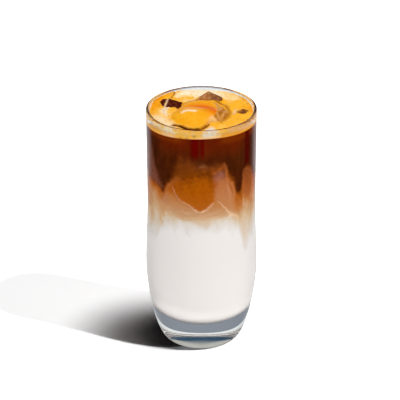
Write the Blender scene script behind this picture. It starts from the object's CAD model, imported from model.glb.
"""Looks of the iced coffee: a turned tumbler, the layers of the drink behind its wall, the ice that
shows through it, the crema with its bubbles, the ice that stands out of it, and the studio round it.

Sizes are metres, except where a name or a comment says millimetres, and colours are sRGB hex. The frame's
pieces stay where they are.
"""

import math

import bmesh
import bpy
import numpy as np
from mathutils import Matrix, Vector
from mathutils.bvhtree import BVHTree


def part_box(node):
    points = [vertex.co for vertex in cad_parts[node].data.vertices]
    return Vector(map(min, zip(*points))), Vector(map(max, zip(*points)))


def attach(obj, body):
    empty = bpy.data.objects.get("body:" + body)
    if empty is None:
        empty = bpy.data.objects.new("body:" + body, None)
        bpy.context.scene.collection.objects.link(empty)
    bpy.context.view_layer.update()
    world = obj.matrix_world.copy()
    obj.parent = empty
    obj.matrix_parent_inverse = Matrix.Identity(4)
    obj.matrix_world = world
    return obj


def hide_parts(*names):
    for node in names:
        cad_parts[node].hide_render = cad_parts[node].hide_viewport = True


bl_info = {
    "name": "Iced Coffee",
    "version": (1, 0, 0),
    "blender": (4, 5, 0),
    "location": "3D View > Sidebar > Iced Coffee",
    "description": "Layered iced coffee in a tall tumbler",
    "category": "Add Mesh",
}

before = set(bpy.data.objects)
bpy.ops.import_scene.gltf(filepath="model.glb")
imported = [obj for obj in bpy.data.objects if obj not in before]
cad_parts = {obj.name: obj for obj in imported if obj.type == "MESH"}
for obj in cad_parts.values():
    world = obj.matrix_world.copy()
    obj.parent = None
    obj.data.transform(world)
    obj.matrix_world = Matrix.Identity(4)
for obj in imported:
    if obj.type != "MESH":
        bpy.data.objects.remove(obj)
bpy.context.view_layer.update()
BODY = "root"
MM = 0.001
GLASS_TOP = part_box("glass")[1].z
BELLY_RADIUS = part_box("glass")[1].x


def linear(hex_colour):
    """A colour of the eye, such as ff8800, as the linear red, green, blue and alpha that a shader takes."""
    parts = [int(hex_colour[i:i + 2], 16) / 255.0 for i in (0, 2, 4)]
    return tuple(c / 12.92 if c <= 0.04045 else ((c + 0.055) / 1.055) ** 2.4 for c in parts) + (1.0,)


def length(name, description, default_mm, smallest_mm=0.0):
    """A length that a user may change, given in millimetres and kept in metres."""
    return bpy.props.FloatProperty(
        name=name, description=description, default=default_mm * MM, min=smallest_mm * MM, unit="LENGTH",
        precision=4,
    )


def tint(name, description, hex_colour):
    """A colour that a user may change."""
    return bpy.props.FloatVectorProperty(
        name=name, description=description, default=linear(hex_colour), size=4, min=0.0, max=1.0,
        subtype="COLOR",
    )


class TumblerSettings(bpy.types.PropertyGroup):
    """Sizes of the glass. Its height and its widest part come from the frame."""

    rim_radius: length("Rim radius", "Outside radius at the lip", 32.2)
    waist_radius: length("Waist radius", "Outside radius where the side is slimmest", 32.1)
    waist_height: length("Waist height", "Height of the slimmest part", 95.0)
    belly_height: length("Belly height", "Height of the widest part", 47.0)
    foot_radius: length("Foot radius", "Outside radius of the standing ring", 22.8)
    punt_radius: length("Punt radius", "Radius of the hollow under the foot", 18.5)
    punt_depth: length("Punt depth", "Depth of the hollow under the foot", 1.1)
    wall: length("Wall", "Thickness of the side", 2.0)
    floor: length("Floor", "Thickness of the base at the middle", 16.0)
    bowl_top: length("Bowl top", "Height where the rounded inner floor meets the side", 36.0)
    segments: bpy.props.IntProperty(
        name="Segments", description="Facets round the glass", default=192, min=32, max=512,
    )
    colour: tint("Glass", "Tint of the soda-lime glass", "f4faf9")


class DrinkSettings(bpy.types.PropertyGroup):
    """Levels and colours of the drink."""

    into_wall: length("Into wall", "How far the drink reaches into the wall, so that no air shows", 0.15)
    milk_top: length("Milk top", "Mean height of the boundary over the milk", 92.3)
    blend_top: length("Blend top", "Mean height of the boundary over the clouded band", 118.0)
    coffee_top: length("Coffee top", "Mean height of the boundary under the crema", 143.4)
    crema_top: length("Crema top", "Mean level of the crema", 147.9)
    segments: bpy.props.IntProperty(
        name="Segments", description="Facets round the drink", default=320, min=48, max=640,
    )
    row: length("Row", "Height of one row of facets on the side", 0.6, 0.2)
    red: tint("Red", "Where light comes through the coffee", "660200")
    amber: tint("Amber", "Thin coffee over clear ice", "ad5400")
    veil: tint("Veil", "A thin veil of milk over dark coffee, which looks mauve", "9a706c")
    ridge: tint("Ridge", "Milk that clings to the edges of sunk ice", "f3c8a6")


class CremaSettings(bpy.types.PropertyGroup):
    """Form and colours of the foam."""

    curl: length("Curl", "How far the foam's edge curls down at the wall", 1.5)
    swell: length("Swell", "Height of the foam's low swells", 0.35)
    free_edge: length("Free edge", "Height of the foam's edge that hangs clear of the wall", 2.4)
    free_gap: length("Free gap", "How far that edge is drawn in", 0.35)
    collar: length("Collar", "How far the foam climbs the ice", 0.5)
    gap_depth: length("Gap depth", "Depth of the gap in front of the middle ice", 1.0)
    bubbles: bpy.props.IntProperty(
        name="Bubbles", description="Bubbles for each square centimetre where the foam is coarse",
        default=45, min=0, max=400,
    )
    bubble_size: length("Bubble", "Diameter of a middling bubble", 0.45)
    gold: tint("Gold", "Fine crema", "fcb62c")
    deep: tint("Deep", "Thin crema over dark coffee", "e28618")
    cream: tint("Cream", "Coarse, pale foam", "fff3da")
    rose: tint("Rose", "Dry foam that has drawn clear of the coffee", "e6d0c4")


class IceSettings(bpy.types.PropertyGroup):
    """Grain and colours of the ice that stands out of the crema."""

    grain: length("Grain", "Width of the facets that the fine surface is made of", 0.42, 0.2)
    pitting: length("Pitting", "Depth of the melted hollows", 0.18)
    clear: tint("Clear", "Clear wet ice over dark coffee", "4a1008")
    cloudy: tint("Cloudy", "Cloudy brown ice", "b87634")
    glaze: tint("Glaze", "Golden foam on ice", "f8a60c")
    flame: tint("Flame", "Deep orange where the glaze is thin", "ea6800")


class StageSettings(bpy.types.PropertyGroup):
    """Camera, lamps and floor."""

    lens: bpy.props.FloatProperty(
        name="Lens", description="Focal length in millimetres on a 36 mm sensor", default=147.6,
    )
    distance: length("Distance", "From the lens to the point that it aims at", 976.1)
    aim_height: length("Aim height", "Height on the axis that the lens aims at", 89.76)
    pitch: bpy.props.FloatProperty(
        name="Pitch", description="How far the camera looks down", default=math.radians(27.485),
        subtype="ANGLE",
    )
    table_light: bpy.props.FloatProperty(
        name="Table light", description="Brightness of the table, where 1 is white", default=1.08,
    )
    drink_light: bpy.props.FloatProperty(
        name="Drink light", description="Strength of the lamps on the drink", default=1.0,
    )
    glow: bpy.props.FloatProperty(
        name="Glow", description="Brightness that the light table adds far from the glass", default=0.9,
    )


SETTINGS = {
    "iced_tumbler": TumblerSettings,
    "iced_drink": DrinkSettings,
    "iced_crema": CremaSettings,
    "iced_ice": IceSettings,
    "iced_stage": StageSettings,
}


# Shapes

def settings(name):
    """One group of the settings above."""
    return getattr(bpy.context.scene, name)


def smooth(t):
    """0 below 0, 1 above 1, and an even rise between them."""
    t = np.clip(t, 0.0, 1.0)
    return t * t * (3.0 - 2.0 * t)


def climb(value, start, full):
    """0 at start, 1 at full, and an even climb between them, downwards where full is the lower one."""
    return smooth((value - start) / (full - start))


def dab(away, half):
    """1 at no distance, and fading softly, to about a third at half."""
    return np.exp(-((away / half) ** 2))


def superellipse(t, roundness):
    """Rise from 0 to 1 along a rounded corner, whose roundness is 2 for a circle."""
    return (1.0 - (1.0 - t) ** roundness) ** (1.0 / roundness)


BASE_ROUNDNESS = 1.56  # of the outside, from the foot to the belly
BOWL_ROUNDNESS = 2.3  # of the inner floor


def outer_radius(z):
    """Radius of the tumbler's outside at a height."""
    s = settings("iced_tumbler")
    if z < s.belly_height:
        rise = superellipse(z / s.belly_height, BASE_ROUNDNESS)
        return s.foot_radius + (BELLY_RADIUS - s.foot_radius) * rise
    if z < s.waist_height:
        share = float(climb(z, s.belly_height, s.waist_height))
        return BELLY_RADIUS + (s.waist_radius - BELLY_RADIUS) * share
    t = (z - s.waist_height) / (GLASS_TOP - s.waist_height)
    return s.waist_radius + (s.rim_radius - s.waist_radius) * t * t


def inner_radius(z):
    """Radius of the cavity at a height."""
    s = settings("iced_tumbler")
    if z < s.bowl_top:
        t = max(0.0, (z - s.floor) / (s.bowl_top - s.floor))
        return (outer_radius(s.bowl_top) - s.wall) * superellipse(t, BOWL_ROUNDNESS)
    return outer_radius(z) - s.wall


def rows(low, high, count):
    """Heights from low to high, without low."""
    return [low + (high - low) * i / count for i in range(1, count + 1)]


def bowl_rows(count):
    """Heights up the bowl, close together where it is flattest."""
    s = settings("iced_tumbler")
    return [
        s.floor + (s.bowl_top - s.floor) * (1.0 - math.cos(0.5 * math.pi * i / count))
        for i in range(1, count + 1)
    ]


def node(tree, kind, inputs=None, stops=(), **values):
    """Adds a node, sets its values, fills or links its inputs, and gives a colour ramp its stops."""
    made = tree.nodes.new(kind)
    for name, value in values.items():
        setattr(made, name, value)
    for socket, value in (inputs or {}).items():
        if isinstance(value, bpy.types.NodeSocket):
            tree.links.new(value, made.inputs[socket])
        else:
            made.inputs[socket].default_value = value
    for place, (share, colour) in enumerate(stops):
        if place == len(made.color_ramp.elements):
            made.color_ramp.elements.new(1.0)
        stop = made.color_ramp.elements[place]
        stop.position = share
        stop.color = linear(colour) if isinstance(colour, str) else tuple(colour)
    return made


def geometry_tree(name, sockets):
    """An empty geometry node tree with a geometry input and output and the named inputs."""
    tree = bpy.data.node_groups.new(name, "GeometryNodeTree")
    tree.interface.new_socket("Geometry", in_out="INPUT", socket_type="NodeSocketGeometry")
    for label, kind, default in sockets:
        socket = tree.interface.new_socket(label, in_out="INPUT", socket_type=kind)
        if default is not None:
            socket.default_value = default
    tree.interface.new_socket("Geometry", in_out="OUTPUT", socket_type="NodeSocketGeometry")
    return tree


def grown(name, mesh, tree, values):
    """Runs a geometry node tree on a mesh and returns the result as a plain mesh."""
    obj = bpy.data.objects.new(name, mesh)
    bpy.context.scene.collection.objects.link(obj)
    modifier = obj.modifiers.new("grow", "NODES")
    modifier.node_group = tree
    for item in tree.interface.items_tree:
        if item.in_out == "INPUT" and item.name in values:
            modifier[item.identifier] = values[item.name]
    graph = bpy.context.evaluated_depsgraph_get()
    result = bpy.data.meshes.new_from_object(obj.evaluated_get(graph))
    bpy.data.objects.remove(obj)
    result.name = name
    return result


HUB = 1.0 * MM  # radius of the circle that a half section is swept round
SAME_PLACE = 0.005 * MM  # points closer than this are made one


def lathe_tree():
    """Turns a half section about the Z axis."""
    tree = geometry_tree("Turn a half section", (
        ("Segments", "NodeSocketInt", 192),
        ("Hub", "NodeSocketFloat", HUB),
        ("Material", "NodeSocketMaterial", None),
    ))
    given = node(tree, "NodeGroupInput")
    section = node(tree, "GeometryNodeMeshToCurve", {"Mesh": given.outputs["Geometry"]})
    ring = node(tree, "GeometryNodeCurvePrimitiveCircle", {
        "Resolution": given.outputs["Segments"], "Radius": given.outputs["Hub"],
    })
    turned = node(tree, "GeometryNodeCurveToMesh", {
        "Curve": ring.outputs["Curve"], "Profile Curve": section.outputs["Curve"],
    })
    closed = node(tree, "GeometryNodeMergeByDistance", {
        "Geometry": turned.outputs["Mesh"], "Distance": SAME_PLACE,
    })
    plain = node(tree, "GeometryNodeRealizeInstances", {"Geometry": closed.outputs["Geometry"]})
    faced = node(tree, "GeometryNodeSetMaterial", {
        "Geometry": plain.outputs["Geometry"], "Material": given.outputs["Material"],
    })
    node(tree, "NodeGroupOutput", {"Geometry": faced.outputs["Geometry"]})
    return tree


def signed_volume(mesh):
    """Volume of a closed mesh, negative where its faces point inwards."""
    mesh.calc_loop_triangles()
    points = coordinates(mesh)
    corners = np.empty(len(mesh.loop_triangles) * 3, np.int32)
    mesh.loop_triangles.foreach_get("vertices", corners)
    a, b, c = (points[corners.reshape(-1, 3)[:, i]] for i in range(3))
    return float(np.einsum("ij,ij->i", a, np.cross(b, c)).sum() / 6.0)


def coordinates(mesh):
    """The mesh's points as rows of x, y and z."""
    points = np.empty(len(mesh.vertices) * 3, np.float32)
    mesh.vertices.foreach_get("co", points)
    return points.reshape(-1, 3).astype(float)


def move_points(mesh, points):
    """Moves the mesh's points to new places."""
    mesh.vertices.foreach_set("co", points.astype(np.float32).ravel())
    mesh.update()


CREASE = math.radians(50)  # edges bent further than this stay sharp


def turned_mesh(name, section, segments, material):
    """A closed mesh turned from a half section of (radius, height), with its faces outwards."""
    line = bpy.data.meshes.new(name + " section")
    line.from_pydata(
        [(r - HUB, -z, 0.0) for r, z in section], [(i, i + 1) for i in range(len(section) - 1)], [],
    )
    mesh = grown(name, line, lathe_tree(), {"Segments": segments, "Hub": HUB, "Material": material})
    if signed_volume(mesh) < 0.0:
        mesh.flip_normals()
    mesh.shade_smooth()
    mesh.set_sharp_from_angle(angle=CREASE)
    return mesh


def finished(name, mesh, material, slot, *nodes):
    """Makes the mesh a piece that rides with the part and stands for the named CAD nodes."""
    mesh.materials.clear()
    mesh.materials.append(material)
    piece = bpy.data.objects.new(name, mesh)
    bpy.context.scene.collection.objects.link(piece)
    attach(piece, BODY)
    if nodes:
        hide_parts(*nodes)
    return piece


def paint(mesh, **fields):
    """Keeps numbers on the mesh's points for its material to read."""
    for name, values in fields.items():
        attribute = mesh.attributes.new(name, "FLOAT", "POINT")
        attribute.data.foreach_set("value", np.asarray(values, np.float32))


def clouds(points, size, seed, count=16):
    """A smooth random field over points in metres, about 1 high, with swells of the given size."""
    draw = np.random.default_rng(seed)
    ways = draw.normal(size=(count, 3))
    ways /= np.linalg.norm(ways, axis=1)[:, None]
    ways *= (2.0 * math.pi / size) * draw.uniform(0.6, 1.4, size=(count, 1))
    turns = draw.uniform(0.0, 2.0 * math.pi, size=count)
    return np.cos(points @ ways.T + turns).sum(1) / math.sqrt(count)


# Where things lie on the wall of the drink: degrees round from the front, to the right, and millimetres up

WALL_ARC_MM = 30.2  # radius that turns degrees on the wall into millimetres along it

COFFEE_FOOT = (
    (-180, 116), (-150, 118), (-120, 113), (-95, 115), (-72, 112.5), (-60, 112), (-52, 109.5), (-44, 106),
    (-36, 112), (-20, 116), (12, 116), (30, 112), (37, 109), (44.5, 105.5), (48, 108), (51, 117),
    (56, 119.5), (64, 117), (75, 112), (100, 117), (130, 112), (155, 118), (180, 116),
)
MILK_SURFACE = (
    (-180, 88), (-140, 92), (-110, 86), (-72, 80), (-50, 85), (-38, 90), (-20, 90.5), (0, 92), (28, 91.5),
    (40, 88), (50, 85), (66, 81), (80, 84), (120, 91), (150, 87), (180, 88),
)

# Faces of the sunk cube and clouds of milk beside it, each laid over those before it. Shares of milk, amber
# and veil are given at the top and at the bottom of each outline, and its softness is in millimetres. Proud
# says how far the cube's face stands out there, as a share of CUBE_PROUD, share how much of the patch is
# mixed in, and mottle how uneven it is, where 1 is as the rest of the drink. Where they aren't given, amber
# and veil are 0, proud is -1, and share and mottle are 1
PATCHES = {
    "left gleam": dict(
        milk=(0.08, 0.18), amber=(0.0, 0.05), veil=(0.25, 0.20), soft=3.0,
        outline=((-80, 141), (-70, 141), (-64, 126), (-54, 115), (-45, 109), (-56, 110), (-72, 112),
                 (-82, 118))),
    "rear face": dict(
        milk=(0.06, 0.13), amber=(0.12, 0.38), veil=(0.02, 0.0), soft=3.2, proud=0.5,
        outline=((-25, 131), (-8, 131), (-2, 128), (26, 128), (29, 119), (14, 120), (-7, 121), (-24, 117),
                 (-31, 115))),
    "rear glow": dict(
        milk=(0.12, 0.15), amber=(0.25, 0.45), veil=(0.04, 0.0), soft=3.0, proud=0.5,
        outline=((0, 126), (20, 127), (24, 123), (14, 121), (-6, 121.5), (-22, 118.5), (-16, 122))),
    "left face": dict(
        milk=(0.36, 0.66), amber=(0.25, 0.0), veil=(0.0, 0.06), soft=2.2, proud=0.8,
        outline=((-36, 114), (-45, 106.5), (-50, 101), (-50, 96), (-31, 97), (-10, 99), (-12, 101.3),
                 (-24, 104.5), (-30, 109.3))),
    "left blush": dict(
        milk=(0.46, 0.56), veil=(0.40, 0.30), soft=3.0, proud=0.8,
        share=0.7, outline=((-46, 104.5), (-39, 105.5), (-38, 101), (-47, 99.5))),
    "left corner": dict(
        milk=(0.18, 0.36), amber=(0.50, 0.45), soft=2.6, proud=0.8,
        outline=((-36, 113.5), (-29, 116), (-25, 114.5), (-28, 109.5), (-34, 107.5), (-39, 109.5))),
    "front face": dict(
        milk=(0.09, 0.46), amber=(0.22, 0.80), soft=2.2, proud=1.0, mottle=2.2,
        outline=((-33, 114.6), (-24, 120), (-7, 124.5), (12, 124.5), (15, 119.5), (14, 112.8), (15.5, 105),
                 (11, 101.6), (7, 100.0), (2, 98.6), (-3, 98.2), (-8, 99.4), (-13, 101.7), (-24, 104.6),
                 (-30, 109.3))),
    "front glow": dict(
        milk=(0.20, 0.36), amber=(0.80, 0.80), soft=4.4, proud=1.0, mottle=3.8,
        outline=((-17, 115.5), (-7, 118.5), (8, 118.0), (10.5, 112.9), (9, 106), (-2, 104), (-13, 106),
                 (-19, 110.3))),
    "right face": dict(
        milk=(0.38, 0.58), amber=(0.15, 0.0), veil=(0.15, 0.10), soft=2.2, proud=0.9,
        outline=((15.5, 121.5), (24, 119), (28, 117.5), (31, 114), (37, 108), (38, 101), (36.5, 95.5),
                 (30, 95.6), (25, 99), (20, 102.4), (16.5, 104.6), (15, 112.8))),
    "right shade": dict(
        milk=(0.20, 0.34), amber=(0.05, 0.0), veil=(0.45, 0.35), soft=2.2, proud=0.9,
        share=0.9, outline=((14.5, 122), (20, 123.5), (25, 121), (24.5, 117.8), (15, 117.2))),
    "right flank": dict(
        milk=(0.20, 0.26), amber=(0.30, 0.35), soft=2.2, proud=0.7,
        outline=((26, 126), (31, 119), (36, 116), (38.5, 109), (36, 111), (31, 115.5), (28, 118.5))),
    "foot glow": dict(
        milk=(0.50, 0.76), amber=(0.25, 0.0), veil=(0.0, 0.1), soft=2.2, proud=0.8, mottle=1.6,
        outline=((-34, 98.5), (-12, 99.6), (-7, 98.6), (-2, 97.6), (7, 99.2), (16, 103.4), (20, 101.8),
                 (25, 98), (31, 94), (24, 92.8), (12, 93.2), (-2, 93.8), (-18, 92), (-32, 93.5))),
    "right ember": dict(
        milk=(0.32, 0.52), amber=(0.32, 0.05), soft=2.6,
        outline=((39, 106), (46, 104.5), (47, 98), (43, 93), (38.5, 95.5))),
    "side block": dict(
        milk=(0.10, 0.42), amber=(0.40, 0.15), veil=(0.06, 0.1), soft=2.4,
        outline=((50.5, 120.3), (58, 119.5), (64, 117.3), (69, 111), (67, 102), (60, 99.5), (51, 102))),
    "milk streak": dict(
        milk=(0.78, 0.92), soft=3.4,
        share=0.8, outline=((48, 93), (58, 92), (60, 80), (58, 66), (50, 65), (46, 80))),
    "tongue": dict(
        milk=(0.74, 0.92), veil=(0.0, 0.05), soft=3.0, mottle=1.6,
        share=0.8, outline=((-14, 94), (18, 94), (13, 90), (8, 86.5), (2, 86), (-4, 89.5))),
    "left haze": dict(
        milk=(0.72, 0.97), soft=5.0,
        share=0.55, outline=((-70, 108), (-54, 107), (-50, 98), (-50, 90), (-66, 89))),
    "left wisp": dict(
        milk=(0.88, 0.95), soft=3.0,
        share=0.7, outline=((-62, 84), (-52, 84), (-53, 74), (-60, 75))),
}

# Edges that catch the light: strength at each point of the line, half width in millimetres, share of milk on
# them, and how far they gleam
RIBS = {
    "lower edge": dict(
        width=0.50, milk=0.62, gleam=1.0,
        line=(
            (-33, 112, 0.10), (-29, 108.8, 0.20), (-24, 104.4, 0.25), (-18, 103.0, 0.26), (-12, 101.2, 0.42),
            (-8, 99.4, 0.60), (-4, 98.4, 0.75), (0, 98.2, 0.8), (4, 98.9, 0.7), (8, 100.3, 0.4),
            (13, 102.8, 0.2))),
    "right lower edge": dict(
        width=0.5, milk=0.70, gleam=1.0,
        line=(
            (17, 104, 0.10), (21, 102.3, 0.32), (25, 99, 0.45), (30, 95.4, 0.6), (37, 92.3, 0.7),
            (45, 89, 0.25))),
    "top right edge": dict(
        width=1.0, milk=0.34, gleam=0.0,
        line=(
            (11, 121.6, 0.30), (19, 124.8, 0.60), (25, 127, 0.40))),
    "right edge": dict(
        width=0.9, milk=0.44, gleam=0.1,
        line=(
            (25, 126.5, 0.30), (28, 118.8, 0.55), (31, 115.5, 0.60), (35, 113.2, 0.75), (38, 107, 0.75),
            (38.5, 100, 0.60), (37, 96, 0.20))),
    "right crease": dict(
        width=0.6, milk=0.55, gleam=0.15,
        line=(
            (27, 118, 0.5), (30, 111, 0.4), (32, 101, 0.2))),
    "left edge": dict(
        width=1.2, milk=0.40, gleam=0.05,
        line=(
            (-49, 101, 0.2), (-44, 105.5, 0.4), (-39, 110.5, 0.5), (-35, 113.6, 0.55), (-29, 116.2, 0.45),
            (-23, 119, 0.2))),
    "side block edge": dict(
        width=0.8, milk=0.34, gleam=0.05,
        line=(
            (51.5, 106, 0.15), (50.3, 112, 0.35), (50, 120.7, 0.4), (56, 119.8, 0.35), (64, 117.2, 0.25),
            (68.5, 111, 0.1))),
    "rear columns": dict(
        width=1.6, milk=0.18, gleam=0.0, line=((-22, 131, 0.6), (-22, 121, 0.2))),
    "rear column": dict(
        width=1.8, milk=0.16, gleam=0.0, line=((-12.5, 130.5, 0.6), (-13, 122, 0.2))),
    "glint": dict(
        width=1.0, milk=0.26, gleam=0.1, line=((-2, 127, 0.3), (1.5, 127.3, 0.7), (5, 127.4, 0.3))),
    "foot crease": dict(
        width=0.7, milk=0.74, gleam=0.2,
        line=(
            (-30, 97, 0.3), (-18, 96.4, 0.5), (-8, 97.2, 0.2))),
    "foot crease right": dict(
        width=0.7, milk=0.74, gleam=0.2,
        line=(
            (-2, 95.4, 0.2), (10, 96.8, 0.5), (20, 97.6, 0.3))),
}

# Light that comes through the coffee: middle and half width in degrees, foot in millimetres, strength, and
# how much clearer, and so darker, the coffee is there
RED_STREAKS = ((-7, 4.2, 129.5, 0.85, 0.9), (0.9, 1.7, 130.0, 0.8, 0.9), (56.5, 4.2, 119.0, 0.50, 1.0))

UNDERSIDE = 18.4  # height in mm under which the milk rests on the glass
HANGING = np.array([1.0, 1.0, 0.18])  # stretches a field upright, into the streaks that poured milk leaves


def degrees_round(points):
    """Degrees of each point round from the front, to the right."""
    return np.degrees(np.arctan2(points[:, 0], -points[:, 1]))


def at_angle(stations, angle):
    """Reads a value at an angle from stations of (degrees, value), rounded between them."""
    degrees, values = (np.array(column, float) for column in zip(*stations))
    place = np.clip(np.searchsorted(degrees, angle, side="right") - 1, 0, len(degrees) - 2)
    t = smooth((angle - degrees[place]) / (degrees[place + 1] - degrees[place]))
    return values[place] + (values[place + 1] - values[place]) * t


def on_wall(stations, closed):
    """A rounded line of degrees round and millimetres up, as millimetres along the wall and up."""
    return [np.array((math.radians(p[0]) * WALL_ARC_MM, *p[1:])) for p in rounded(stations, closed)]


def rounded(line, closed):
    """A line with its corners cut twice, which turns them into short curves."""
    line = [np.array(p, float) for p in line]
    for _ in range(2):
        ends = line[1:] + line[:1] if closed else line[1:]
        cut = [q for a, b in zip(line, ends) for q in (0.75 * a + 0.25 * b, 0.25 * a + 0.75 * b)]
        line = cut if closed else [line[0]] + cut + [line[-1]]
    return line


def to_line(u, v, line):
    """Distance of each point from a line, and the share of the way along its nearest stretch."""
    best = np.full(u.shape, 1e9)
    place = np.zeros(u.shape)
    for i, ((ax, ay, *_), (bx, by, *_)) in enumerate(zip(line, line[1:])):
        dx, dy = bx - ax, by - ay
        t = np.clip(((u - ax) * dx + (v - ay) * dy) / (dx * dx + dy * dy), 0.0, 1.0)
        away = np.hypot(u - ax - t * dx, v - ay - t * dy)
        nearer = away < best
        best = np.where(nearer, away, best)
        place = np.where(nearer, i + t, place)
    return best, place


def within(u, v, outline):
    """Distance inside an outline, negative outside it."""
    ring = list(outline) + [outline[0]]
    away, _ = to_line(u, v, ring)
    inside = np.zeros(u.shape, bool)
    for (ax, ay), (bx, by) in zip(ring, ring[1:]):
        if ay != by:
            crosses = (ay > v) != (by > v)
            inside ^= crosses & (u < (bx - ax) * (v - ay) / (by - ay) + ax)
    return np.where(inside, away, -away)


def covered(u, v, outline, soft):
    """How much of an outline covers each point, with an edge as wide as twice its softness."""
    return smooth(0.5 + within(u, v, outline) / (2.0 * soft))


def drink_fields(points):
    """What the drink is at each point of its wall: shares of milk, amber, veil, red, edge and underside."""
    angle = degrees_round(points)
    aside = np.abs(angle)
    height = points[:, 2] / MM
    drift = clouds(points, 9.0 * MM, 11)
    curl = clouds(points, 3.4 * MM, 12)
    fine = clouds(points, 1.7 * MM, 16)
    hang = clouds(points * HANGING, 3.4 * MM, 17)
    u = np.radians(angle) * WALL_ARC_MM + 0.5 * drift + 0.25 * curl + 0.10 * fine
    v = height + 0.5 * clouds(points, 8.0 * MM, 13) + 0.3 * clouds(points, 2.8 * MM, 14)

    # Depth is 0 at the coffee's foot and 1 at the milk's surface: thin clouds, then ever more milk
    foot = at_angle(COFFEE_FOOT, angle) + 0.8 * drift + 0.35 * curl + 0.3 * hang
    surface = at_angle(MILK_SURFACE, angle) + 1.0 * clouds(points, 11.0 * MM, 15) + 0.4 * curl
    depth = (foot - height) / (foot - surface)
    milk = 0.055 + 0.012 * hang
    milk = milk + 0.28 * climb(depth, -0.14, 0.22) + 0.56 * climb(depth, 0.10, 1.10)
    milk += 0.105 * climb(depth, 0.85, 1.65)
    milk += 0.03 * curl * climb(depth, 0.0, 0.2) * climb(depth, 1.1, 0.6)
    amber = 0.28 * climb(depth, -0.10, 0.10) * climb(depth, 0.36, 0.06)
    veil = 0.40 * climb(aside, 64.0, 78.0) * climb(aside, 114.0, 92.0) * climb(depth, 0.1, -0.3)

    for patch in PATCHES.values():
        heights = [p[1] for p in patch["outline"]]
        down = np.clip((max(heights) - height) / (max(heights) - min(heights)), 0.0, 1.0)
        inside = covered(u, v, on_wall(patch["outline"], True), patch["soft"]) * patch.get("share", 1.0)
        uneven = patch.get("mottle", 1.0) * (0.5 * curl + 0.3 * fine + 0.2 * hang)
        for values, key, change in ((milk, "milk", 0.03), (amber, "amber", 0.08), (veil, "veil", 0.04)):
            top, bottom = patch.get(key, (0.0, 0.0))
            share = top + (bottom - top) * down
            share = share + change * uneven * min(1.0, 4.0 * share.mean()) * (1.0 - share)
            values += (share - values) * inside
    edge = np.zeros(len(points))
    for rib in RIBS.values():
        line = on_wall(rib["line"], False)
        away, along = to_line(u, v, line)
        crest = np.interp(along, range(len(line)), [p[2] for p in line]) * dab(away, rib["width"])
        milk += (rib["milk"] - milk) * crest
        edge = np.maximum(edge, rib["gleam"] * crest)

    # Light that falls in from the top: red and clouded in front and behind, and glowing close to the foam
    under_crema = climb(height, 127.0, 143.0) * (climb(aside, 66.0, 36.0) + climb(aside, 104.0, 134.0))
    red = 0.50 * under_crema * (1.0 + 0.12 * hang)
    milk += 0.06 * under_crema
    ember = climb(height, 138.8, 142.3) * climb(aside, 14.0, 28.0)
    amber = np.maximum(amber, 0.42 * ember)
    red = np.maximum(red, 0.55 * ember)
    for middle, half, low, strength, darkness in RED_STREAKS:
        streak = np.exp(-(((angle - middle) / half) ** 4)) * climb(height, low, low + 6.0)
        red += (strength - red) * streak
        milk = milk * (1.0 - darkness * streak)
        amber = amber * (1.0 - streak)
    under = climb(height, UNDERSIDE, UNDERSIDE - 1.5)
    shares = dict(milk=milk, amber=amber, veil=veil, red=red, edge=edge, under=under)
    return {name: np.clip(share, 0.0, 1.0) for name, share in shares.items()}


def wave(points, waves):
    """Height of a soft boundary above its mean, growing from the middle to the wall."""
    turn = np.arctan2(points[:, 1], points[:, 0]) / (2.0 * math.pi)
    reach = np.minimum(1.0, np.hypot(points[:, 0], points[:, 1]) / inner_radius(GLASS_TOP * 0.8))
    return reach * sum(h * MM * np.sin(2.0 * math.pi * (n * turn + phase)) for h, n, phase in waves)


# Waves of each boundary: height in mm, how many go round, and where round they start
MILK_WAVES = ((1.5, 2, 0.10), (0.9, 5, 0.35))
BLEND_WAVES = ((2.4, 1, 0.72), (1.6, 3, 0.20), (0.8, 7, 0.55))
CREMA_WAVES = ((0.9, 2, 0.75), (0.8, 1, 0.25))

DISC_RINGS = 12  # rings of facets across a boundary inside the drink
TOP_RINGS = 96  # and across the foam
BOWL_ROWS = 28  # rows of facets up the bowl
SIDE_ROWS = 30  # up each side of the glass
BASE_ROWS = 36  # round the outside of its base
ARC_ROWS = 14  # over its lip, and across the hollow under its foot


def wall_section(low, high, row):
    """Half section of a layer's side, from high to low, just inside the wall."""
    reach = settings("iced_drink").into_wall
    heights = [high] + rows(high, low, max(2, round((high - low) / row)))
    return [(inner_radius(z) + reach, z) for z in heights]


def to_middle(radius, z, rings):
    """A flat stretch of a half section, from a radius to the axis."""
    return [(radius * (1.0 - i / rings), z) for i in range(1, rings + 1)]


def layer_mesh(name, low, low_waves, high, high_waves, material):
    """A layer of drink between two wavy boundaries."""
    s = settings("iced_drink")
    side = wall_section(low, high, s.row)
    top = to_middle(side[0][0], high, DISC_RINGS)[::-1]
    section = top + side + to_middle(side[-1][0], low, DISC_RINGS)
    mesh = turned_mesh(name, section, s.segments, material)
    points = coordinates(mesh)
    share = (points[:, 2] - low) / (high - low)
    points[:, 2] += (1.0 - share) * wave(points, low_waves) + share * wave(points, high_waves)
    move_points(mesh, points)
    return mesh


# Materials

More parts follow.
